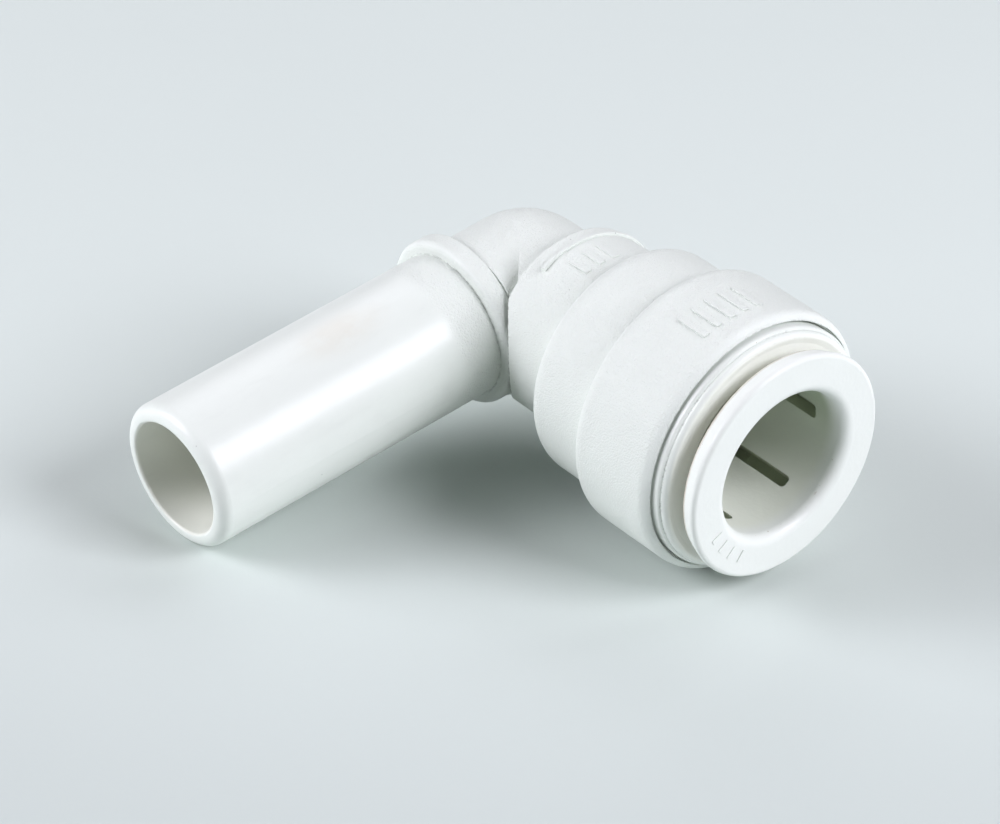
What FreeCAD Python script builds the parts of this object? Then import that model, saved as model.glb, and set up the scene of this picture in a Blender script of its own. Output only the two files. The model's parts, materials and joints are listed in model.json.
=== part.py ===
"""15 mm push-fit stem elbow: a plain stem on one leg and a push-in tube socket on the other.

Frame: +Z up, +Y out of the socket's mouth, +X along the stem towards its open end. The origin is on the
socket's axis, where the straight wall of the collet's bore begins, one lead-in behind the flange's face.
Every sub-part is drawn from the point where the two legs' axes cross, and is then placed in that frame.
"""
import FreeCAD, Part
import math
import os
import Sketcher
from FreeCAD import Placement, Rotation, Vector

# name, value (mm, or degrees where the note says so), note
SIZES = [
    ("centre_to_mouth", 37.3, "axes' crossing to the start of the collet's straight bore"),
    ("lead_in", 1.05, "rounded mouth of the collet's bore"),
    # stem leg, along X
    ("stem_radius", 7.5, "15 mm tube size"),
    ("stem_end", 42.9, "end face of the stem"),
    ("stem_end_round", 1.2, "rounded outer edge of the stem's end"),
    ("waterway_radius", 5.83, "bore of the stem and of the elbow"),
    ("waterway_edge", 0.3, "rounded inner edge of the stem's end"),
    ("collar_back", 6.49, "back face of the collar"),
    ("collar_front", 8.71, "front face of the collar, the stop for a socket pushed over the stem"),
    ("collar_radius", 8.73, "collar round the stem's root"),
    ("collar_front_round", 0.7, "outer front edge of the collar"),
    ("collar_back_round", 0.25, "outer back edge of the collar"),
    # socket leg, along Y
    ("neck_radius", 8.2, "knuckle's two tubes and the ball between them"),
    ("dome_centre", 1.1, "how far the knuckle sits from the stem's axis towards the mouth"),
    ("hub_back", 7.07, "back face of the hub"),
    ("hub_radius", 9.93, "hub round the tube's end"),
    ("hub_back_round", 0.35, "outer back edge of the hub"),
    ("hub_flank_radius", 10.3, "hub's flank on the stem's side"),
    ("hub_flank_shift", 1.25, "how far that flank's own axis lies from the socket's, away from the stem"),
    ("mitre_reach", 11.0, "far end of the mitre that clears the hub from the stem's side"),
    ("mitre_depth", 22.0, "length of the mitre's cut along Z"),
    ("barrel_back", 14.9, "back of the middle barrel"),
    ("barrel_radius", 12.1, "middle barrel, round the seal"),
    ("barrel_round", 2.1, "shoulder of the middle barrel"),
    ("mouth_back", 23.1, "back of the mouth barrel"),
    ("mouth_radius", 13.72, "mouth barrel, round the cap and the fingers"),
    ("mouth_round", 1.6, "shoulder of the mouth barrel"),
    ("rim_front", 33.7, "front of the mouth barrel's rim"),
    ("rim_round", 1.1, "rounded rim"),
    # inside the socket leg
    ("tube_stop", 10.0, "ledge that the pushed-in tube stops on"),
    ("tube_seat_radius", 7.65, "seat round the tube's end"),
    ("seal_floor", 15.5, "floor of the seal's seat"),
    ("seal_seat_radius", 9.8, "wall of the seal's seat"),
    ("finger_floor", 20.2, "ledge below the collet's fingers"),
    ("finger_room_radius", 10.9, "room that the fingers open into"),
    ("cap_floor", 23.9, "ledge below the cap's sleeve"),
    ("cap_room_radius", 11.45, "wall round the cap's sleeve"),
    ("cap_ledge", 31.5, "ledge that carries the cap's flange"),
    ("mouth_bore_radius", 12.72, "wall round the cap's flange"),
    ("groove_floor", 33.0, "floor of the shallow groove between rim and cap"),
    ("groove_radius", 12.95, "outer wall of that groove"),
    # raised rib on the hub
    ("rib_radius", 10.2, "top of the rib"),
    ("rib_back", 8.57, "back edge of the rib"),
    ("rib_front", 9.02, "front edge of the rib"),
    ("rib_round", 0.15, "rounded edges of the rib's top"),
    ("raised_root", 0.8, "how deep the rib and the bars are rooted in the plastic below"),
    ("rib_middle", 108.0, "middle of the rib from +X towards +Z, degrees"),
    ("rib_span", 84.0, "how far the rib runs round the hub, degrees"),
    # plain raised bars on the mouth barrel
    ("bar_radius", 13.87, "top of the bars"),
    ("bar_back", 27.6, "back end of the bars"),
    ("bar_front", 31.2, "front end of the bars"),
    ("bar_width", 2.4, "width of one bar, degrees"),
    ("bar_first", 104.0, "first bar from +X towards +Z, degrees"),
    ("bar_spread", 28.0, "first bar to last bar, degrees"),
    ("bar_count", 5, "number of bars"),
    # plain raised bars on the hub
    ("hub_bar_radius", 10.03, "top of the hub's bars"),
    ("hub_bar_back", 10.4, "back end of the hub's bars"),
    ("hub_bar_front", 12.9, "front end of the hub's bars"),
    ("hub_bar_width", 4.0, "width of one hub bar, degrees"),
    ("hub_bar_first", 100.0, "first hub bar from +X towards +Z, degrees"),
    ("hub_bar_spread", 20.0, "first hub bar to last hub bar, degrees"),
    ("hub_bar_count", 3, "number of bars on the hub"),
    # retaining cap
    ("cap_back", 24.0, "back end of the cap's sleeve"),
    ("cap_sleeve_radius", 11.4, "outside of the cap's sleeve"),
    ("cap_flange_radius", 12.67, "outside of the cap's flange"),
    ("cap_shoulder", 34.45, "narrow shoulder outside the cap's bead"),
    ("cap_shoulder_round", 0.3, "outer edge of the shoulder"),
    ("cap_bead_radius", 12.4, "outside of the bead"),
    ("cap_bead_round", 0.5, "outer edge of the bead"),
    ("cap_front", 35.2, "top of the bead"),
    ("cap_valley_radius", 11.3, "foot of the bead's inner slope"),
    ("cap_face", 34.95, "the cap's flat face"),
    ("cap_hole_radius", 9.2, "hole that the collet's sleeve slides in"),
    ("cap_hole_round", 0.3, "inner front edge of the cap"),
    ("cone_radius", 10.75, "wide end of the cone that closes the fingers"),
    ("cone_front", 28.0, "narrow end of the cone"),
    # collet
    ("collet_bore_radius", 7.6, "bore for the 15 mm tube"),
    ("sleeve_radius", 8.95, "outside of the sleeve"),
    ("finger_tip", 21.7, "ends of the fingers"),
    ("head_radius", 10.3, "outside of the fingers' wedge heads"),
    ("head_front", 24.6, "where the wedge heads start to taper"),
    ("head_taper_end", 28.1, "where the taper meets the sleeve"),
    ("tip_round", 0.4, "rounded edge of the fingers' ends"),
    ("flange_back", 36.39, "back face of the flange"),
    ("flange_back_radius", 11.3, "flange at its back face"),
    ("flange_radius", 12.0, "the flange's front edge before it is rounded"),
    ("flange_round", 0.45, "rounded front edge of the flange"),
    ("face_bar_inner", 8.9, "inner end of the plain raised bars on the flange's face"),
    ("face_bar_outer", 10.2, "outer end of those bars"),
    ("face_bar_rise", 0.08, "how far they stand out of the face"),
    ("face_bar_width", 3.0, "width of one bar, degrees"),
    ("face_bar_first", 338.0, "first bar from +X towards +Z, degrees"),
    ("face_bar_spread", 30.0, "first bar to last bar, degrees"),
    ("face_bar_count", 4, "number of bars on the face"),
    ("slot_end", 34.35, "closed end of the slots"),
    ("slot_overrun", 1.0, "how far the slot's outline runs past the fingers' ends"),
    ("slot_corner", 0.45, "rounded corners at the closed end"),
    ("wide_slot_half", 0.86, "half the width of every other slot"),
    ("wide_slot_turn", 270.0, "turn of their outline, a quarter turn past the first of them, degrees"),
    ("narrow_slot_half", 0.63, "half the width of the slots between those"),
    ("narrow_slot_turn", 90.0, "turn of their outline, degrees"),
    ("slots_of_a_kind", 3, "wide slots, and narrow slots"),
    # grip teeth
    ("tooth_tip_radius", 7.4, "biting edge"),
    ("tooth_tip", 23.1, "height of the biting edge"),
    ("tooth_root_radius", 9.5, "buried root"),
    ("tooth_root", 24.6, "lower side of the root"),
    ("tooth_rise", 0.65, "blade's depth along the axis"),
    ("tooth_bevel", 0.2, "bevel behind the biting edge"),
    ("tooth_width", 2.6, "blade's width"),
    ("tooth_count", 6, "one in each finger"),
    ("tooth_first", 30.0, "first finger's middle from +X, degrees"),
    # spacer ring and seal
    ("spacer_back", 18.3, "side towards the seal"),
    ("spacer_front", 19.5, "side towards the fingers"),
    ("spacer_hole_radius", 7.75, "hole round the tube"),
    ("spacer_radius", 9.7, "outside"),
    ("spacer_edge", 0.2, "rounded edges"),
    ("seal_middle", 16.9, "middle of the O-ring"),
    ("seal_ring_radius", 8.575, "radius of the O-ring's centre line"),
    ("seal_section_radius", 1.175, "radius of its section"),
]
SIZE = {name: value for name, value, note in SIZES}
CLOSE = 1e-4
FULL_TURN = 360.0

doc = FreeCAD.newDocument("StemElbow")
sheet = doc.addObject("Spreadsheet::Sheet", "Sizes")
for row, (name, value, note) in enumerate(SIZES, 1):
    sheet.set(f"A{row}", name)
    sheet.set(f"B{row}", str(value))
    sheet.set(f"C{row}", note)
    sheet.setAlias(f"B{row}", name)
doc.recompute()


def amount(formula):
    """Value of a sum of the sheet's names, such as 'flange_back - lead_in'."""
    total = 0.0
    sign = 1.0
    for word in formula.split():
        if word in "+-":
            sign = 1.0 if word == "+" else -1.0
        else:
            total += sign * SIZE[word]
    return total


def bound(formula):
    """The same sum as an expression on the sheet."""
    return " ".join(word if word in "+-" else "Sizes." + word for word in formula.split())


def make_body(label):
    """An empty body whose local origin is the crossing of the two legs' axes."""
    body = doc.addObject("PartDesign::Body", label)
    body.Label = label
    body.Placement = Placement(Vector(0, -SIZE["centre_to_mouth"], 0), Rotation())
    body.setExpression("Placement.Base.y", "-Sizes.centre_to_mouth")
    return body


def origin_part(body, role):
    return next(part for part in body.Origin.OriginFeatures if part.Role == role)


def make_sketch(body, name, turn=None, aside=None):
    """A sketch on the XY plane, turned about Y by an angle from +X towards +Z, or moved aside towards -X."""
    sketch = body.newObject("Sketcher::SketchObject", name)
    sketch.AttachmentSupport = [(origin_part(body, "XY_Plane"), "")]
    sketch.MapMode = "FlatFace"
    if turn:
        sketch.AttachmentOffset = Placement(Vector(), Rotation(Vector(0, -1, 0), SIZE[turn]))
        sketch.setExpression("AttachmentOffset.Rotation.Angle", "Sizes." + turn)
    if aside:
        sketch.AttachmentOffset = Placement(Vector(-SIZE[aside], 0, 0), Rotation())
        sketch.setExpression("AttachmentOffset.Base.x", "-Sizes." + aside)
    return sketch


def limit(sketch, kind, *place, formula):
    """Add a dimension that reads its value from the sheet."""
    index = sketch.addConstraint(Sketcher.Constraint(kind, *place, amount(formula)))
    sketch.setExpression(f"Constraints[{index}]", bound(formula))


def fix_point(sketch, geometry, end, x_formula, y_formula):
    """Tie a point to the sketch's origin; an empty formula means that it lies on that axis."""
    for formula, kind, axis in ((x_formula, "DistanceX", -2), (y_formula, "DistanceY", -1)):
        if formula:
            limit(sketch, kind, -1, 1, geometry, end, formula=formula)
        else:
            sketch.addConstraint(Sketcher.Constraint("PointOnObject", geometry, end, axis))


def profile(body, name, corners, turn=None, aside=None):
    """A closed outline through corners (x formula, y formula, optional radius formula), in a plane with Y."""
    sketch = make_sketch(body, name, turn, aside)
    count = len(corners)
    points = [Vector(amount(corner[0]), amount(corner[1]), 0) for corner in corners]
    starts = list(points)
    ends = list(points)
    arcs = {}
    for i, corner in enumerate(corners):
        if len(corner) < 3:
            continue
        radius = amount(corner[2])
        before = (points[i - 1] - points[i]).normalize()
        after = (points[(i + 1) % count] - points[i]).normalize()
        half_angle = before.getAngle(after) / 2
        ends[i] = points[i] + before * (radius / math.tan(half_angle))
        starts[i] = points[i] + after * (radius / math.tan(half_angle))
        centre = points[i] + (before + after).normalize() * (radius / math.sin(half_angle))
        turns_left = before.cross(after).z < 0
        first, last = (ends[i], starts[i]) if turns_left else (starts[i], ends[i])
        angles = [math.atan2(point.y - centre.y, point.x - centre.x) for point in (first, last)]
        circle = Part.Circle(centre, Vector(0, 0, 1), radius)
        arcs[i] = (Part.ArcOfCircle(circle, *angles), turns_left)
    for i in range(count):
        sketch.addGeometry(Part.LineSegment(starts[i], ends[(i + 1) % count]), False)
    for i, corner in enumerate(corners):
        incoming = (i - 1) % count
        if i not in arcs:
            sketch.addConstraint(Sketcher.Constraint("Coincident", incoming, 2, i, 1))
            fix_point(sketch, i, 1, corner[0], corner[1])
            continue
        arc, turns_left = arcs[i]
        arc_index = sketch.addGeometry(arc, False)
        corner_index = sketch.addGeometry(Part.Point(points[i]), True)
        first_end, last_end = (1, 2) if turns_left else (2, 1)
        sketch.addConstraint(Sketcher.Constraint("Tangent", incoming, 2, arc_index, first_end))
        sketch.addConstraint(Sketcher.Constraint("Tangent", i, 1, arc_index, last_end))
        sketch.addConstraint(Sketcher.Constraint("PointOnObject", corner_index, 1, incoming))
        sketch.addConstraint(Sketcher.Constraint("PointOnObject", corner_index, 1, i))
        limit(sketch, "Radius", arc_index, formula=corner[2])
        fix_point(sketch, corner_index, 1, corner[0], corner[1])
    doc.recompute()
    return sketch


def turned(body, kind, name, corners, about="V_Axis", turn=None, span=None, aside=None):
    """Revolve an outline about one of its sketch's axes: all round, or span degrees with turn in the middle."""
    sketch = profile(body, name + "_outline", corners, turn, aside)
    feature = body.newObject("PartDesign::" + kind, name)
    feature.Profile = sketch
    feature.ReferenceAxis = (sketch, [about])
    feature.Angle = SIZE[span] if span else FULL_TURN
    if span:
        feature.setExpression("Angle", "Sizes." + span)
        feature.Midplane = True
    sketch.Visibility = False
    doc.recompute()
    return feature


def around(body, name, feature, count, angle=None):
    """Repeat a feature about the body's Y axis."""
    pattern = body.newObject("PartDesign::PolarPattern", name)
    pattern.Originals = [feature]
    pattern.Axis = (origin_part(body, "Y_Axis"), [""])
    pattern.Angle = SIZE[angle] if angle else FULL_TURN
    pattern.Occurrences = int(SIZE[count])
    pattern.setExpression("Occurrences", "Sizes." + count)
    if angle:
        pattern.setExpression("Angle", "Sizes." + angle)
    body.Tip = pattern
    doc.recompute()
    return pattern


def ball(body, kind, name, radius, station=None):
    """A ball on the socket's axis, added to the body or cut from it."""
    sphere = body.newObject("PartDesign::" + kind, name)
    sphere.AttachmentSupport = [(origin_part(body, "XY_Plane"), "")]
    sphere.MapMode = "FlatFace"
    sphere.Radius = SIZE[radius]
    sphere.setExpression("Radius", "Sizes." + radius)
    if station:
        sphere.AttachmentOffset = Placement(Vector(0, SIZE[station], 0), Rotation())
        sphere.setExpression("AttachmentOffset.Base.y", "Sizes." + station)
    doc.recompute()
    return sphere


def add_knuckle_root(body):
    """The knuckle's tube on the stem's side, up to the collar and a little off the stem's axis."""
    tube = body.newObject("PartDesign::AdditiveCylinder", "knuckle_root")
    tube.AttachmentSupport = [(origin_part(body, "YZ_Plane"), "")]
    tube.MapMode = "FlatFace"
    tube.AttachmentOffset = Placement(Vector(SIZE["dome_centre"], 0, 0), Rotation())
    tube.setExpression("AttachmentOffset.Base.x", "Sizes.dome_centre")
    tube.Radius = SIZE["neck_radius"]
    tube.setExpression("Radius", "Sizes.neck_radius")
    tube.Height = SIZE["collar_back"]
    tube.setExpression("Height", "Sizes.collar_back")
    doc.recompute()


def check_removed(before, after, name):
    """A cut that points away from the solid removes nothing and shows no error."""
    if after.Shape.Volume > before - CLOSE:
        raise RuntimeError(name + " cut nothing")


def make_elbow_body():
    body = make_body("elbow_body")
    turned(body, "Revolution", "socket_leg", [
        ("", "dome_centre"),
        ("neck_radius", "dome_centre"),
        ("neck_radius", "hub_back"),
        ("hub_radius", "hub_back", "hub_back_round"),
        ("hub_radius", "barrel_back"),
        ("barrel_radius", "barrel_back", "barrel_round"),
        ("barrel_radius", "mouth_back"),
        ("mouth_radius", "mouth_back", "mouth_round"),
        ("mouth_radius", "rim_front", "rim_round"),
        ("", "rim_front"),
    ])
    volume = body.Tip.Shape.Volume
    flank = turned(body, "Groove", "hub_flank", [
        ("hub_flank_radius", "collar_back"),
        ("hub_flank_radius + mouth_round", "collar_back"),
        ("hub_flank_radius + mouth_round", "barrel_back"),
        ("hub_flank_radius", "barrel_back"),
    ], aside="hub_flank_shift")
    check_removed(volume, flank, "hub_flank")
    volume = flank.Shape.Volume
    outline = profile(body, "hub_mitre_outline", [
        ("collar_back", "collar_back"),
        ("mitre_reach", "mitre_reach"),
        ("mitre_reach", "collar_back"),
    ])
    mitre = extrude_both_ways(body, "Pocket", "hub_mitre", outline, "mitre_depth")
    check_removed(volume, mitre, "hub_mitre")
    ball(body, "AdditiveSphere", "knuckle_dome", "neck_radius", "dome_centre")
    add_knuckle_root(body)
    turned(body, "Revolution", "stem_leg", [
        ("collar_back", ""),
        ("stem_end", ""),
        ("stem_end", "stem_radius", "stem_end_round"),
        ("collar_front", "stem_radius"),
        ("collar_front", "collar_radius", "collar_front_round"),
        ("collar_back", "collar_radius", "collar_back_round"),
    ], about="H_Axis")
    turned(body, "Revolution", "hub_rib", [
        ("hub_radius - raised_root", "rib_back"),
        ("rib_radius", "rib_back", "rib_round"),
        ("rib_radius", "rib_front", "rib_round"),
        ("hub_radius - raised_root", "rib_front"),
    ], turn="rib_middle", span="rib_span")
    bar = turned(body, "Revolution", "mouth_bar", [
        ("mouth_radius - raised_root", "bar_back"),
        ("bar_radius", "bar_back"),
        ("bar_radius", "bar_front"),
        ("mouth_radius - raised_root", "bar_front"),
    ], turn="bar_first", span="bar_width")
    around(body, "mouth_bars", bar, "bar_count", "bar_spread")
    hub_bar = turned(body, "Revolution", "hub_bar", [
        ("hub_radius - raised_root", "hub_bar_back"),
        ("hub_bar_radius", "hub_bar_back"),
        ("hub_bar_radius", "hub_bar_front"),
        ("hub_radius - raised_root", "hub_bar_front"),
    ], turn="hub_bar_first", span="hub_bar_width")
    solid = around(body, "hub_bars", hub_bar, "hub_bar_count", "hub_bar_spread")
    volume = solid.Shape.Volume
    socket_room = turned(body, "Groove", "socket_room", [
        ("", ""),
        ("waterway_radius", ""),
        ("waterway_radius", "tube_stop"),
        ("tube_seat_radius", "tube_stop"),
        ("tube_seat_radius", "seal_floor"),
        ("seal_seat_radius", "seal_floor"),
        ("seal_seat_radius", "finger_floor"),
        ("finger_room_radius", "finger_floor"),
        ("finger_room_radius", "cap_floor"),
        ("cap_room_radius", "cap_floor"),
        ("cap_room_radius", "cap_ledge"),
        ("mouth_bore_radius", "cap_ledge"),
        ("mouth_bore_radius", "groove_floor"),
        ("groove_radius", "groove_floor"),
        ("groove_radius", "rim_front + lead_in"),
        ("", "rim_front + lead_in"),
    ])
    check_removed(volume, socket_room, "socket_room")
    volume = socket_room.Shape.Volume
    stem_bore = turned(body, "Groove", "stem_bore", [
        ("", ""),
        ("stem_end + lead_in", ""),
        ("stem_end + lead_in", "waterway_radius"),
        ("", "waterway_radius"),
    ], about="H_Axis")
    check_removed(volume, stem_bore, "stem_bore")
    volume = stem_bore.Shape.Volume
    corner = ball(body, "SubtractiveSphere", "waterway_corner", "waterway_radius")
    check_removed(volume, corner, "waterway_corner")
    round_rim(body, "stem_mouth_edge", corner, "waterway_radius", "stem_end", "waterway_edge")
    return body


def round_rim(body, name, feature, rim_radius, station, round_radius):
    """Fillet the circular edge of the stem that has this radius and place along X."""
    edges = [
        f"Edge{number}"
        for number, edge in enumerate(feature.Shape.Edges, 1)
        if not edge.Degenerated
        and isinstance(edge.Curve, Part.Circle)
        and abs(edge.Curve.Radius - SIZE[rim_radius]) < CLOSE
        and abs(edge.Curve.Center.x - SIZE[station]) < CLOSE
    ]
    fillet = body.newObject("PartDesign::Fillet", name)
    fillet.Base = (feature, edges)
    fillet.Radius = SIZE[round_radius]
    fillet.setExpression("Radius", "Sizes." + round_radius)
    doc.recompute()
    return fillet


def make_retaining_cap():
    body = make_body("retaining_cap")
    turned(body, "Revolution", "cap_ring", [
        ("cone_radius", "cap_back"),
        ("cap_sleeve_radius", "cap_back"),
        ("cap_sleeve_radius", "cap_ledge"),
        ("cap_flange_radius", "cap_ledge"),
        ("cap_flange_radius", "cap_shoulder", "cap_shoulder_round"),
        ("cap_bead_radius", "cap_shoulder"),
        ("cap_bead_radius", "cap_front", "cap_bead_round"),
        ("cap_valley_radius", "cap_face"),
        ("cap_hole_radius", "cap_face", "cap_hole_round"),
        ("cap_hole_radius", "cone_front"),
    ])
    return body


def cut_slots(body, kind):
    """Three slots of a kind through the sleeve, open at the fingers' ends."""
    half = kind + "_half"
    outline = profile(body, kind + "_outline", [
        ("- " + half, "finger_tip - slot_overrun"),
        (half, "finger_tip - slot_overrun"),
        (half, "slot_end", "slot_corner"),
        ("- " + half, "slot_end", "slot_corner"),
    ], turn=kind + "_turn")
    volume = body.Tip.Shape.Volume
    slot = body.newObject("PartDesign::Pocket", kind)
    slot.Profile = outline
    slot.Type = "Length"
    slot.Length = SIZE["flange_radius"]
    slot.setExpression("Length", "Sizes.flange_radius")
    outline.Visibility = False
    doc.recompute()
    check_removed(volume, slot, kind)
    around(body, kind + "s", slot, "slots_of_a_kind")


TOOTH_OUTLINE = [
    ("tooth_tip_radius", "tooth_tip"),
    ("tooth_root_radius", "tooth_root"),
    ("tooth_root_radius", "tooth_root + tooth_rise"),
    ("tooth_tip_radius + tooth_bevel", "tooth_tip + tooth_rise"),
]


def extrude_both_ways(body, kind, name, sketch, width):
    """A pad or a pocket with its sketch in the middle of its width."""
    feature = body.newObject("PartDesign::" + kind, name)
    feature.Profile = sketch
    feature.Type = "Length"
    feature.Length = SIZE[width]
    feature.setExpression("Length", "Sizes." + width)
    feature.SideType = "Symmetric"
    sketch.Visibility = False
    doc.recompute()
    return feature


def make_collet():
    body = make_body("collet")
    turned(body, "Revolution", "collet_ring", [
        ("collet_bore_radius", "finger_tip"),
        ("head_radius", "finger_tip", "tip_round"),
        ("head_radius", "head_front"),
        ("sleeve_radius", "head_taper_end"),
        ("sleeve_radius", "flange_back"),
        ("flange_back_radius", "flange_back"),
        ("flange_radius", "centre_to_mouth + lead_in", "flange_round"),
        ("collet_bore_radius", "centre_to_mouth + lead_in", "lead_in"),
    ])
    face_bar = turned(body, "Revolution", "face_bar", [
        ("face_bar_inner", "centre_to_mouth + lead_in - raised_root"),
        ("face_bar_outer", "centre_to_mouth + lead_in - raised_root"),
        ("face_bar_outer", "centre_to_mouth + lead_in + face_bar_rise"),
        ("face_bar_inner", "centre_to_mouth + lead_in + face_bar_rise"),
    ], turn="face_bar_first", span="face_bar_width")
    around(body, "face_bars", face_bar, "face_bar_count", "face_bar_spread")
    cut_slots(body, "wide_slot")
    cut_slots(body, "narrow_slot")
    volume = body.Tip.Shape.Volume
    sketch = profile(body, "tooth_seat_outline", TOOTH_OUTLINE, turn="tooth_first")
    seat = extrude_both_ways(body, "Pocket", "tooth_seat", sketch, "tooth_width")
    check_removed(volume, seat, "tooth_seat")
    around(body, "tooth_seats", seat, "tooth_count")
    return body


def make_grip_tooth(number):
    """A blade that leans back into the socket, so that a tube that is pulled out drives it deeper."""
    body = make_body(f"grip_tooth_{number}")
    step = FULL_TURN / SIZE["tooth_count"]
    angle = SIZE["tooth_first"] + (number - 1) * step
    body.Placement = Placement(body.Placement.Base, Rotation(Vector(0, -1, 0), angle))
    sketch = profile(body, "blade_outline", TOOTH_OUTLINE)
    extrude_both_ways(body, "Pad", "blade", sketch, "tooth_width")
    return body


def make_spacer_ring():
    body = make_body("spacer_ring")
    turned(body, "Revolution", "spacer_washer", [
        ("spacer_hole_radius", "spacer_back", "spacer_edge"),
        ("spacer_radius", "spacer_back", "spacer_edge"),
        ("spacer_radius", "spacer_front", "spacer_edge"),
        ("spacer_hole_radius", "spacer_front", "spacer_edge"),
    ])
    return body


def make_o_ring():
    ring = doc.addObject("Part::Torus", "o_ring")
    ring.Label = "o_ring"
    ring.Radius1 = SIZE["seal_ring_radius"]
    ring.Radius2 = SIZE["seal_section_radius"]
    ring.setExpression("Radius1", "Sizes.seal_ring_radius")
    ring.setExpression("Radius2", "Sizes.seal_section_radius")
    middle = Vector(0, SIZE["seal_middle"] - SIZE["centre_to_mouth"], 0)
    ring.Placement = Placement(middle, Rotation(Vector(1, 0, 0), 90))
    ring.setExpression("Placement.Base.y", "Sizes.seal_middle - Sizes.centre_to_mouth")
    return ring


sub_parts = [make_elbow_body(), make_retaining_cap(), make_collet(), make_spacer_ring(), make_o_ring()]
for tooth_number in range(1, int(SIZE["tooth_count"]) + 1):
    sub_parts.append(make_grip_tooth(tooth_number))
doc.recompute()

for item in doc.Objects:
    if {"Invalid", "Error"} & set(item.State):
        raise RuntimeError(f"{item.Label} failed: {item.State}")
for sub_part in sub_parts:
    shape = sub_part.Shape
    if shape.isNull() or not shape.isValid() or len(shape.Solids) != 1:
        raise RuntimeError(f"{sub_part.Label} isn't one valid solid")

os.makedirs("parts", exist_ok=True)
for sub_part in sub_parts:
    sub_part.Shape.exportStep(f"parts/{sub_part.Label}.step")
    box = sub_part.Shape.BoundBox
    print(
        f"{sub_part.Label}: {sub_part.Shape.Volume:.1f} mm3, "
        f"x {box.XMin:.2f} {box.XMax:.2f}, y {box.YMin:.2f} {box.YMax:.2f}, z {box.ZMin:.2f} {box.ZMax:.2f}"
    )
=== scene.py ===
"""White 15 mm push-fit stem elbow on a pale floor in soft light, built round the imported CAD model.

Frame: metres, +Y out of the socket's mouth, +X along the stem, +Z up, the origin at the start of the
collet's bore.
Sizes on the object are in mm. A station is the distance along the socket's axis from its crossing with
the stem's axis.
"""
import bmesh
import bpy
import json
import math
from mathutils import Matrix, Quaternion, Vector


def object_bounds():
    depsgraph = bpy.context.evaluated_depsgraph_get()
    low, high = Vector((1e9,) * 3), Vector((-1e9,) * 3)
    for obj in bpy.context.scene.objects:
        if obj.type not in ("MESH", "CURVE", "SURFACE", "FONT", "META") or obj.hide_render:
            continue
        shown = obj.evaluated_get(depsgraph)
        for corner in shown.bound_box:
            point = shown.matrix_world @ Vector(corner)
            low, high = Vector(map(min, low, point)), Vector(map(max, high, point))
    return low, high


MM = 0.001

# where the photograph was taken from: angles in degrees of the way from the object to the camera,
# distance, shift of the point looked at, and focal length in mm
VIEW_AZIMUTH = 51.02
VIEW_ELEVATION = 38.96
VIEW_ROLL = -2.93
VIEW_DISTANCE = 471.6
VIEW_CENTRE_SHIFT = (-0.49, -1.2, -0.07)
LENS = 178.4

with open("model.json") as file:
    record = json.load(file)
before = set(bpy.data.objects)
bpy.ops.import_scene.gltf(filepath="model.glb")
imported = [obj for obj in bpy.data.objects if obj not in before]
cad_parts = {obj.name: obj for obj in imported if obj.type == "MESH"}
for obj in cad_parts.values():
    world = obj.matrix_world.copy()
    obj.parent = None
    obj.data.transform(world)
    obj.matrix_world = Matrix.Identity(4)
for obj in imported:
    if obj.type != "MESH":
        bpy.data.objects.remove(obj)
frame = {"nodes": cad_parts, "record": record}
cad_low, cad_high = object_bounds()
nodes = frame["nodes"]
mounts = {mount["name"]: mount for mount in frame["record"]["mounts"]}
CROSSING_Y = mounts["stem"]["pos_m"][1] / MM
centre = (cad_low + cad_high) / 2


def place_camera():
    azimuth, elevation = math.radians(VIEW_AZIMUTH), math.radians(VIEW_ELEVATION)
    back = Vector((
        math.cos(azimuth) * math.cos(elevation),
        math.sin(azimuth) * math.cos(elevation),
        math.sin(elevation),
    ))
    data = bpy.data.cameras.new("camera")
    data.lens = LENS
    data.clip_start = 0.01
    data.clip_end = 20.0
    camera = bpy.data.objects.new("camera", data)
    bpy.context.scene.collection.objects.link(camera)
    camera.location = centre + (Vector(VIEW_CENTRE_SHIFT) + back * VIEW_DISTANCE) * MM
    camera.rotation_mode = "QUATERNION"
    roll = Quaternion((0, 0, 1), math.radians(VIEW_ROLL))
    camera.rotation_quaternion = (-back).to_track_quat("-Z", "Y") @ roll
    bpy.context.scene.camera = camera


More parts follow.
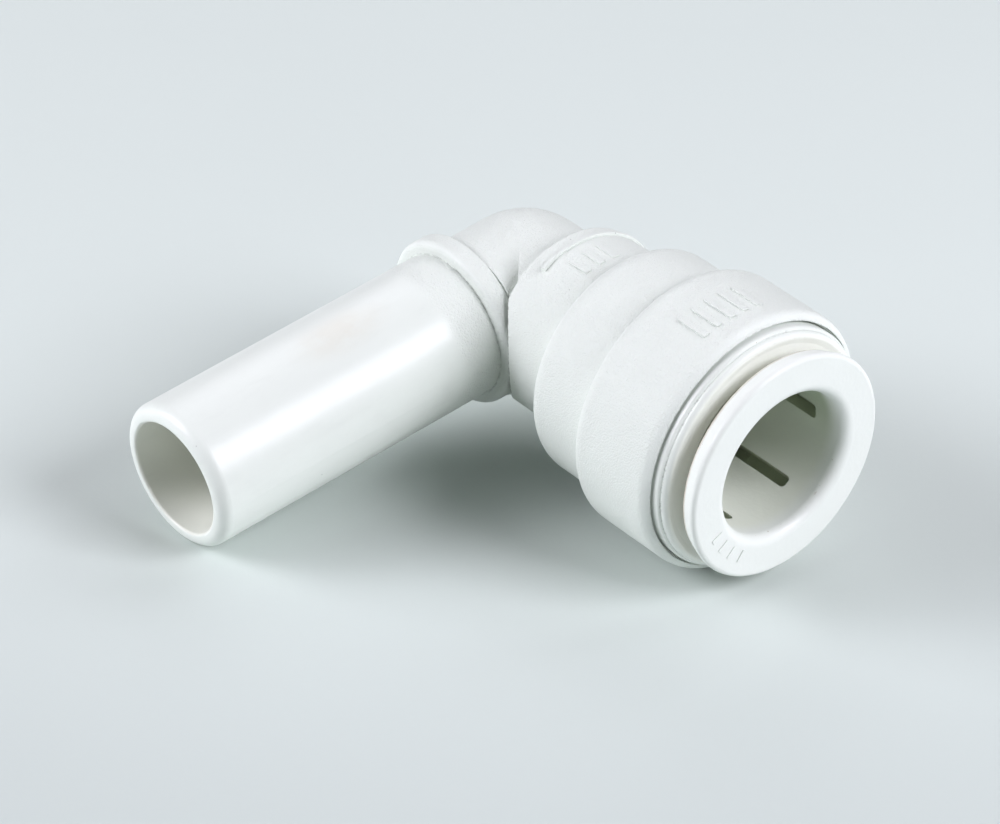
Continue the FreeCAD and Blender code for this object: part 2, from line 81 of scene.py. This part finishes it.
class Shader:
    """A material, and short calls that add its nodes. Lengths are in mm."""

    def __init__(self, name):
        self.material = bpy.data.materials.new(name)
        self.material.use_nodes = True
        self.tree = self.material.node_tree
        self.tree.nodes.clear()
        place = self.node("TexCoord").outputs["Object"]
        scaled = self.node("VectorMath", {0: place, "Scale": 1 / MM}, operation="SCALE")
        self.place = scaled.outputs[0]
        split = self.node("SeparateXYZ", {0: self.place})
        self.x, self.y, self.z = split.outputs
        self.station = self.calc("SUBTRACT", self.y, CROSSING_Y)
        self.from_socket_axis = self.length(self.x, self.z)
        self.from_stem_axis = self.length(self.station, self.z)

    def node(self, kind, inputs=None, **settings):
        made = self.tree.nodes.new("ShaderNode" + kind)
        for name, value in settings.items():
            setattr(made, name, value)
        for name, value in (inputs or {}).items():
            if isinstance(value, bpy.types.NodeSocket):
                self.tree.links.new(value, made.inputs[name])
            else:
                made.inputs[name].default_value = value
        return made

    def calc(self, operation, *values):
        return self.node("Math", dict(enumerate(values)), operation=operation).outputs[0]

    def length(self, a, b):
        squares = self.calc("ADD", self.calc("MULTIPLY", a, a), self.calc("MULTIPLY", b, b))
        return self.calc("SQRT", squares)

    def ramp(self, value, start, end, low=0.0, high=1.0):
        """low before start, high after end, smooth between; start may be the larger."""
        if start > end:
            start, end, low, high = end, start, high, low
        made = self.node("MapRange", {
            "Value": value, "From Min": start, "From Max": end, "To Min": low, "To Max": high,
        }, interpolation_type="SMOOTHSTEP")
        return made.outputs[0]

    def noise(self, size, detail=2.0, roughness=0.5, seed=0.0):
        """Noise of 0 to 1, with features of about this size."""
        moved = self.node("VectorMath", {0: self.place, 1: (seed, 2 * seed, 3 * seed)}, operation="ADD")
        made = self.node("TexNoise", {
            "Vector": moved.outputs[0], "Scale": 1 / size, "Detail": detail, "Roughness": roughness,
        })
        return made.outputs[0]

    def near(self, along, across, circle, width):
        """1 on a circle, 0 from width away."""
        place, radius = circle
        offset = self.length(self.calc("SUBTRACT", along, place), self.calc("SUBTRACT", across, radius))
        return self.ramp(offset, width, 0.0)

    def near_socket_ring(self, circle, width):
        return self.near(self.station, self.from_socket_axis, circle, width)

    def near_stem_ring(self, circle, width):
        return self.near(self.x, self.from_stem_axis, circle, width)

    def specks(self, spacing, radius, share, seed=0.0):
        """1 in small round dots of this radius, one to a cell, in this share of the cells."""
        moved = self.node("VectorMath", {0: self.place, 1: (seed, 2 * seed, 3 * seed)}, operation="ADD")
        cells = self.node("TexVoronoi", {"Vector": moved.outputs[0], "Scale": 1 / spacing})
        chance = self.node("SeparateXYZ", {0: cells.outputs["Color"]}).outputs[0]
        dot = self.ramp(cells.outputs["Distance"], radius / spacing, 0.4 * radius / spacing)
        return self.calc("MULTIPLY", dot, self.calc("LESS_THAN", chance, share))

    def both(self, *shares):
        """The product of shares: 1 where all of them are."""
        product = shares[0]
        for share in shares[1:]:
            product = self.calc("MULTIPLY", product, share)
        return product

    def most(self, *shares):
        """The largest share: 1 where any of them is."""
        largest = shares[0]
        for share in shares[1:]:
            largest = self.calc("MAXIMUM", largest, share)
        return largest

    def mix(self, share, first, second):
        made = self.node("Mix", {0: share, 6: first, 7: second}, data_type="RGBA")
        return made.outputs[2]

    def bump(self, height, depth):
        return self.node("Bump", {"Height": height, "Distance": depth * MM}).outputs[0]

    def finish(self, colour, roughness, normal, **surface):
        inputs = {"Base Color": colour, "Roughness": roughness, "Normal": normal}
        inputs.update(surface)
        shader = self.node("BsdfPrincipled", inputs)
        self.node("OutputMaterial", {"Surface": shader.outputs[0]})
        return self.material


# circles on the object, round the socket's axis: station and radius in mm
HUB_BACK = (7.07, 8.2)
MIDDLE_BARREL_BACK = (15.5, 11.6)
MOUTH_BARREL_BACK = (23.4, 13.4)
RIM_OUTER = (33.4, 13.5)
RIM_INNER = (33.66, 12.95)
CAP_SHOULDER = (34.5, 12.45)
FLANGE_BACK = (36.4, 11.3)
BORE_LIP = (37.5, 7.75)

# circles round the stem's axis: x and radius in mm
COLLAR_BACK = (6.49, 8.2)
COLLAR_FRONT = (8.5, 8.6)
STEM_ROOT = (8.71, 7.5)
STEM_TIP = (42.7, 7.0)

# the inner corner between the legs, where x and station are equal, in mm
CROOK = 8.3

# the rub mark on the stem: x and station of its middle, half its length and half its width in mm
RUB_MIDDLE = (23.0, 1.0)
RUB_HALF_SIZE = (7.0, 3.2)

# steps of the elbow's bore towards the mouth: station, radius and the width of the blend in mm
BORE_STEPS = [(15.0, 10.3, 0.1), (20.3, 11.5, 0.1), (24.6, 12.75, 0.05)]

# the moulding grain: its depth in mm, and the mean of the noise that makes it
GRAIN_DEPTH = 0.14
GRAIN_MEAN = 0.575

# the olive, deep olive and bore colours, the pale valley and the darker floor paint light or shade; tan,
# brown and dirt serve both as real marks and as painted shade
WHITE = (0.80, 0.845, 0.79, 1)
WHITE_WORN = (0.84, 0.88, 0.84, 1)
WHITE_DULL = (0.775, 0.82, 0.765, 1)
OLIVE_STAIN_AND_SHADE = (0.78, 0.80, 0.72, 1)
DEEP_OLIVE_PAINTED_SHADE = (0.56, 0.61, 0.47, 1)
DIRT_AND_SHADE = (0.10, 0.11, 0.085, 1)
TAN_STAIN_AND_SHADE = (0.66, 0.60, 0.48, 1)
VALLEY_PAINTED_LIGHT = (0.945, 0.985, 0.92, 1)
BORE_PAINTED_SHADE_ABOVE = (0.44, 0.51, 0.38, 1)
BORE_PAINTED_SHADE_BELOW = (0.79, 0.825, 0.73, 1)
BROWN_MARKS_AND_SHADE = (0.30, 0.24, 0.16, 1)
ACETAL = (0.80, 0.84, 0.79, 1)
ACETAL_PALE = (0.83, 0.865, 0.82, 1)
WASHER = (0.55, 0.57, 0.52, 1)
WASHER_PALE = (0.66, 0.68, 0.62, 1)
RUBBER = (0.025, 0.025, 0.024, 1)
RUBBER_GREASED = (0.012, 0.012, 0.011, 1)
STEEL = (0.50, 0.50, 0.48, 1)
STEEL_PALE = (0.66, 0.66, 0.63, 1)
FLOOR = (0.655, 0.72, 0.68, 1)
FLOOR_PALE = (0.67, 0.735, 0.695, 1)
FLOOR_PAINTED_SHADE = (0.56, 0.617, 0.587, 1)


def elbow_look():
    """Fine-grained white moulding with a smooth stem, waterways tinted olive-grey partly as painted shade,
    and dirt and painted shade in its creases and crook.
    """
    s = Shader("elbow_plastic")
    # the grain runs on from the collar for a few millimetres and then stops
    smooth = s.both(s.ramp(s.x, 11.8, 14.4), s.ramp(s.from_stem_axis, 7.75, 7.6))
    waterway = s.most(
        s.both(s.ramp(s.from_stem_axis, 6.1, 5.9), s.ramp(s.x, 0.0, 1.0)),
        s.both(s.ramp(s.from_socket_axis, 8.1, 7.8), s.ramp(s.station, 0.0, 1.0)),
    )
    behind_rim = s.ramp(s.station, 33.5, 33.4)
    for start, radius, blend in BORE_STEPS:
        within = s.ramp(s.from_socket_axis, radius + blend, radius)
        step = s.both(within, s.ramp(s.station, start - 0.1, start), behind_rim)
        waterway = s.most(waterway, step)
    mottle = s.noise(6.0, 3.0)
    colour = s.mix(mottle, WHITE_DULL, WHITE)
    # the waterways are tinted olive-grey, partly a stain and partly painted shade
    colour = s.mix(waterway, colour, OLIVE_STAIN_AND_SHADE)

    # a yellowed rub mark along the top of the stem, and grey scuffs beside it
    along = s.calc("DIVIDE", s.calc("SUBTRACT", s.x, RUB_MIDDLE[0]), RUB_HALF_SIZE[0])
    across = s.calc("DIVIDE", s.calc("SUBTRACT", s.station, RUB_MIDDLE[1]), RUB_HALF_SIZE[1])
    patch = s.both(s.ramp(s.length(along, across), 1.0, 0.2), s.ramp(s.z, 4.0, 5.5), smooth)
    rubbed = s.both(patch, s.ramp(s.noise(3.4, 4.0, 0.6, 5.0), 0.3, 0.65, 0.3, 1.0))
    colour = s.mix(s.calc("MULTIPLY", rubbed, 0.3), colour, TAN_STAIN_AND_SHADE)
    drawn_out = s.node("VectorMath", {0: s.place, 1: (0.3, 1.0, 1.0)}, operation="MULTIPLY")
    scuffs = s.node("TexNoise", {
        "Vector": drawn_out.outputs[0], "Scale": 0.9, "Detail": 6.0, "Roughness": 0.7,
    }).outputs[0]
    streaks = s.ramp(scuffs, 0.45, 0.9)
    colour = s.mix(s.both(streaks, smooth, 0.05), colour, DIRT_AND_SHADE)

    # dirt in a broken line on the mitre of hub and collar and in specks at large; dirt and painted shade in
    # the creases; painted olive shade low in the crook
    broken = s.ramp(s.noise(0.7, 3.0, 0.6, 3.0), 0.36, 0.6)
    on_mitre = s.ramp(s.calc("ABSOLUTE", s.calc("SUBTRACT", s.x, s.station)), 0.13, 0.03)
    on_collar = s.both(s.ramp(s.x, 6.3, 6.6), s.ramp(s.x, 9.6, 9.4), s.ramp(s.from_socket_axis, 8.3, 8.5))
    colour = s.mix(s.both(on_mitre, on_collar, s.ramp(broken, 0.0, 1.0, 0.2, 0.8)), colour, DIRT_AND_SHADE)
    # the creases are darkened with dirt and painted shade
    crease_dirt_and_shade = s.most(
        s.near_stem_ring(STEM_ROOT, 0.22),
        s.near_stem_ring(COLLAR_BACK, 0.2),
        s.near_socket_ring(HUB_BACK, 0.25),
        s.near_socket_ring(RIM_INNER, 0.16),
    )
    colour = s.mix(s.both(crease_dirt_and_shade, s.ramp(broken, 0.2, 1.0), 0.28), colour, DIRT_AND_SHADE)
    # painted shade: a soft olive darkening in the inner corner between the legs, on its lower side
    from_crook = s.length(s.calc("SUBTRACT", s.x, CROOK), s.calc("SUBTRACT", s.station, CROOK))
    crook_painted_shade = s.ramp(from_crook, 2.6, 0.6)
    colour = s.mix(s.both(crook_painted_shade, s.ramp(s.z, 3.0, -2.0), 0.2), colour, DEEP_OLIVE_PAINTED_SHADE)
    outside = s.calc("SUBTRACT", 1.0, waterway)
    colour = s.mix(s.both(s.specks(2.4, 0.09, 0.4, 1.0), outside, 0.5), colour, DIRT_AND_SHADE)

    # rims and shoulders are rubbed a little smoother and whiter
    worn = s.most(
        s.near_socket_ring(RIM_OUTER, 0.7),
        s.near_socket_ring(MOUTH_BARREL_BACK, 0.6),
        s.near_socket_ring(MIDDLE_BARREL_BACK, 0.7),
        s.near_stem_ring(STEM_TIP, 0.6),
        s.near_stem_ring(COLLAR_FRONT, 0.3),
    )
    colour = s.mix(s.both(worn, 0.3), colour, WHITE_WORN)

    fine = s.noise(0.16, 2.0, 0.5, 2.0)
    coarse = s.noise(0.42, 3.0, 0.6)
    grain = s.calc("ADD", s.calc("MULTIPLY", fine, 0.85), s.calc("MULTIPLY", coarse, 0.3))
    flat = s.most(smooth, s.calc("MULTIPLY", worn, 0.6), waterway)
    # the grain swings about its mean, so that no step shows where it fades out
    swing = s.calc("SUBTRACT", grain, GRAIN_MEAN)
    normal = s.bump(s.calc("MULTIPLY", swing, s.ramp(flat, 0, 1, 1.0, 0.0)), GRAIN_DEPTH)
    scuffed = s.ramp(s.noise(3.0, 5.0, 0.7, 7.0), 0.35, 0.7, 0.0, 0.1)
    scuffed = s.both(scuffed, s.ramp(smooth, 0, 1, 1.0, 0.3))
    roughness = s.calc("ADD", s.ramp(smooth, 0, 1, 0.42, 0.33), scuffed)
    return s.finish(colour, roughness, normal)


def cap_look():
    """Satin cap: a speckled shoulder, a valley lifted with painted light and darkened under the flange with
    painted tan shade, and a hole darkened with painted shade.
    """
    s = Shader("cap_plastic_look")
    colour = s.mix(s.noise(3.0, 3.0), WHITE_DULL, WHITE)
    # painted light lifts the valley between shoulder and flange, and painted tan shade lies in it, in
    # patches
    valley = s.both(s.ramp(s.from_socket_axis, 12.4, 11.8), s.ramp(s.station, 34.0, 34.4))
    shade_patches = s.ramp(s.noise(5.0, 3.0, 0.6, 4.0), 0.3, 0.65, 0.35, 1.0)
    colour = s.mix(valley, colour, VALLEY_PAINTED_LIGHT)
    colour = s.mix(s.both(valley, shade_patches, 0.1), colour, TAN_STAIN_AND_SHADE)
    shoulder = s.near_socket_ring(CAP_SHOULDER, 0.2)
    specks = s.ramp(s.noise(0.3, 2.0, 0.6, 9.0), 0.5, 0.62)
    stretches = s.ramp(s.noise(3.0, 2.0, 0.5, 2.0), 0.42, 0.6)
    colour = s.mix(s.both(shoulder, specks, stretches, 0.32), colour, DIRT_AND_SHADE)
    # painted shade: the hole and the parts behind it are darkened to olive
    inside = s.most(s.ramp(s.from_socket_axis, 9.5, 9.25), s.ramp(s.station, 32.5, 32.0))
    colour = s.mix(inside, colour, DEEP_OLIVE_PAINTED_SHADE)
    colour = s.mix(s.both(s.specks(1.8, 0.07, 0.4, 6.0), 0.6), colour, BROWN_MARKS_AND_SHADE)
    scuffed = s.ramp(s.noise(2.0, 4.0, 0.7, 8.0), 0.35, 0.7, 0.0, 0.12)
    roughness = s.calc("ADD", scuffed, 0.3)
    normal = s.bump(s.noise(0.5, 3.0), 0.012)
    return s.finish(colour, roughness, normal)


def collet_look():
    """Smooth acetal: white flange with painted shade under it and along its back edge, a bore painted
    olive-grey as shade and darker towards its top, slot walls darkened with painted shade, chips on its lip.
    """
    s = Shader("collet_plastic_look")
    colour = s.mix(s.noise(4.0, 3.0), ACETAL, ACETAL_PALE)
    # painted shade: the bore is olive-grey, darker towards its top
    in_bore = s.both(s.ramp(s.from_socket_axis, 7.85, 7.65), s.ramp(s.station, 37.4, 35.5))
    bore_painted_shade = s.mix(s.ramp(s.z, -6.0, 3.0), BORE_PAINTED_SHADE_BELOW, BORE_PAINTED_SHADE_ABOVE)
    colour = s.mix(in_bore, colour, bore_painted_shade)
    # painted shade: the slot walls are darkened to deep olive
    wall = s.both(s.ramp(s.from_socket_axis, 7.66, 7.72), s.ramp(s.station, 35.6, 34.6))
    colour = s.mix(wall, colour, DEEP_OLIVE_PAINTED_SHADE)
    # painted shade: tan under the flange and patchy brown along its back edge
    under = s.both(s.ramp(s.station, 36.75, 36.45), s.ramp(s.from_socket_axis, 8.8, 9.2))
    colour = s.mix(s.both(under, 0.5), colour, TAN_STAIN_AND_SHADE)
    back_edge = s.near_socket_ring(FLANGE_BACK, 0.4)
    shade_patches = s.ramp(s.noise(1.6, 4.0, 0.6, 5.0), 0.35, 0.6, 0.15, 0.55)
    colour = s.mix(s.both(back_edge, shade_patches), colour, BROWN_MARKS_AND_SHADE)
    lip = s.near_socket_ring(BORE_LIP, 0.35)
    chips = s.ramp(s.noise(0.4, 3.0, 0.6, 12.0), 0.62, 0.7)
    low_side = s.ramp(s.z, 0.0, -4.0)
    colour = s.mix(s.both(lip, chips, low_side, 0.6), colour, BROWN_MARKS_AND_SHADE)
    colour = s.mix(s.both(s.specks(2.2, 0.07, 0.3, 2.0), 0.5), colour, DIRT_AND_SHADE)
    scuffed = s.ramp(s.noise(2.5, 5.0, 0.7, 3.0), 0.35, 0.7, 0.0, 0.12)
    roughness = s.calc("ADD", scuffed, s.ramp(in_bore, 0.0, 1.0, 0.34, 0.5))
    normal = s.bump(s.noise(0.5, 3.0), 0.02)
    return s.finish(colour, roughness, normal)


def spacer_look():
    """Dull greyish washer."""
    s = Shader("spacer_plastic_look")
    colour = s.mix(s.noise(2.0, 3.0), WASHER, WASHER_PALE)
    normal = s.bump(s.noise(0.3, 3.0), 0.02)
    return s.finish(colour, s.ramp(s.noise(1.0, 3.0), 0.3, 0.7, 0.35, 0.5), normal)


def rubber_look():
    """Black rubber under a patchy film of grease."""
    s = Shader("seal_rubber_look")
    grease = s.ramp(s.noise(1.5, 4.0, 0.6), 0.42, 0.6)
    colour = s.mix(grease, RUBBER, RUBBER_GREASED)
    normal = s.bump(s.noise(0.15, 2.0), 0.01)
    return s.finish(colour, s.ramp(grease, 0.0, 1.0, 0.6, 0.2), normal)


def steel_look():
    """Stamped stainless strip, brushed across its width."""
    s = Shader("tooth_steel_look")
    stretched = s.node("VectorMath", {0: s.place, 1: (9.0, 1.0, 9.0)}, operation="MULTIPLY")
    brushed = s.node("TexNoise", {"Vector": stretched.outputs[0], "Scale": 1.2, "Detail": 4.0}).outputs[0]
    colour = s.mix(brushed, STEEL, STEEL_PALE)
    normal = s.bump(brushed, 0.006)
    return s.finish(colour, s.ramp(brushed, 0.3, 0.7, 0.24, 0.4), normal, Metallic=1.0)


def floor_look():
    """Pale grey-blue paint, with painted shade that makes it a little darker out beyond the stem's end and
    the mouth.
    """
    s = Shader("floor_paint")
    tone = s.mix(s.noise(60.0, 2.0), FLOOR, FLOOR_PALE)
    # painted shade: the floor darkens outwards beyond the stem's end and the mouth
    outwards = s.calc("ADD", s.calc("MULTIPLY", s.x, 0.63), s.calc("MULTIPLY", s.station, 0.78))
    tone = s.mix(s.ramp(outwards, 0.0, 85.0), tone, FLOOR_PAINTED_SHADE)
    normal = s.bump(s.noise(0.5, 2.0), 0.01)
    return s.finish(tone, 0.6, normal)


# half the floor's side in metres
FLOOR_HALF = 3.0


def make_floor():
    """The object lies on its mouth barrel and the end of its stem, so the floor leans with it."""
    barrel_radius = -cad_low.z
    stem = mounts["stem"]
    stem_end = stem["pos_m"][0] + stem["dims"]["length_mm"] / 2 * MM
    stem_radius = stem["dims"]["r_mm"] * MM
    # the slope of a line that touches the undersides of the barrel and of the stem's end
    slope = math.asin(barrel_radius / math.hypot(stem_end, stem_radius)) - math.atan2(stem_radius, stem_end)
    up = Vector((-math.sin(slope), 0, math.cos(slope)))
    along = Vector((math.cos(slope), 0, math.sin(slope)))
    middle = Vector((0, centre.y, 0)) - up * barrel_radius
    mesh = bpy.data.meshes.new("floor")
    shape = bmesh.new()
    corners = [shape.verts.new(middle + along * u * FLOOR_HALF + Vector((0, v * FLOOR_HALF, 0)))
               for u, v in ((-1, -1), (1, -1), (1, 1), (-1, 1))]
    shape.faces.new(corners)
    shape.to_mesh(mesh)
    shape.free()
    floor = bpy.data.objects.new("floor", mesh)
    bpy.context.scene.collection.objects.link(floor)
    mesh.materials.append(floor_look())


# name, azimuth and elevation from the object in degrees, power in watts
SOFTBOXES = [
    ("right_softbox", 120, 35, 5.05),
    ("right_low", 135, 12, 1.01),
    ("left_softbox", 315, 35, 2.54),
    ("left_near", 330, 35, 2.69),
    ("left_low", 315, 22, 1.36),
    ("back_right", 180, 35, 1.09),
    ("back_fill", 225, 35, 0.70),
    ("mouth_fill", 90, 16, 0.35),
]
# side and distance from the object in metres
SOFTBOX_SIDE = 0.4
SOFTBOX_DISTANCE = 0.8
LIGHT_COLOUR = (1.02, 1.0, 1.09)
WORLD_STRENGTH = 0.005


def add_softbox(name, azimuth, elevation, power):
    """A square light that faces the object. Azimuth is from +X towards +Y."""
    a, e = math.radians(azimuth), math.radians(elevation)
    way = Vector((math.cos(a) * math.cos(e), math.sin(a) * math.cos(e), math.sin(e)))
    data = bpy.data.lights.new(name, "AREA")
    data.shape = "SQUARE"
    data.size = SOFTBOX_SIDE
    data.energy = power
    data.color = LIGHT_COLOUR
    light = bpy.data.objects.new(name, data)
    bpy.context.scene.collection.objects.link(light)
    light.location = centre + way * SOFTBOX_DISTANCE
    light.rotation_mode = "QUATERNION"
    light.rotation_quaternion = (-way).to_track_quat("-Z", "Y")


def light_scene():
    world = bpy.data.worlds.new("studio")
    world.use_nodes = True
    background = world.node_tree.nodes["Background"]
    background.inputs["Color"].default_value = (*LIGHT_COLOUR, 1)
    background.inputs["Strength"].default_value = WORLD_STRENGTH
    bpy.context.scene.world = world
    bpy.context.scene.view_settings.view_transform = "Standard"
    for softbox in SOFTBOXES:
        add_softbox(*softbox)


LOOKS = {
    "elbow_body": elbow_look(),
    "retaining_cap": cap_look(),
    "collet": collet_look(),
    "spacer_ring": spacer_look(),
    "o_ring": rubber_look(),
}
steel = steel_look()
for name, node in nodes.items():
    node.material_slots[0].material = LOOKS.get(name, steel)

place_camera()
make_floor()
light_scene()
